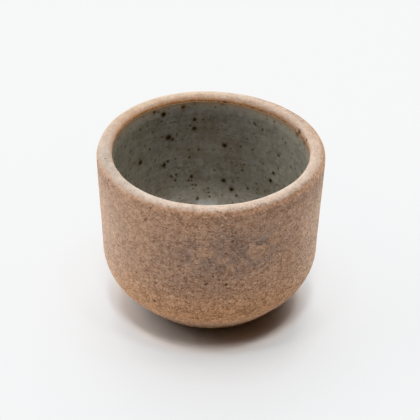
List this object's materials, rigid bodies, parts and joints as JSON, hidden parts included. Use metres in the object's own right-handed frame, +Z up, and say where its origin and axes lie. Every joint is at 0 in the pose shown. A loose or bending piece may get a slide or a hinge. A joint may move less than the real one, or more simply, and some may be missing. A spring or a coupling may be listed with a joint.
{
  "type": "guinomi sake cup",
  "caption": "Small handleless stoneware sake cup with an upright wall, round belly, low foot ring and glazed inside, for drinking.",
  "frame": {"origin": "centre of the foot ring, on the surface that the cup stands on", "axes": "+Z up along the axis that the cup was turned on; +X and +Y lie on the table, and nothing on the cup tells them apart"},
  "size_m": [0.064, 0.064, 0.052],
  "materials": {
    "stoneware": "matte",
    "glaze": "satin"
  },
  "bodies": {
    "root": {"stoneware_body": "stoneware", "foot_ring": "stoneware", "glaze_lining": "glaze"}
  },
  "joints": []
}
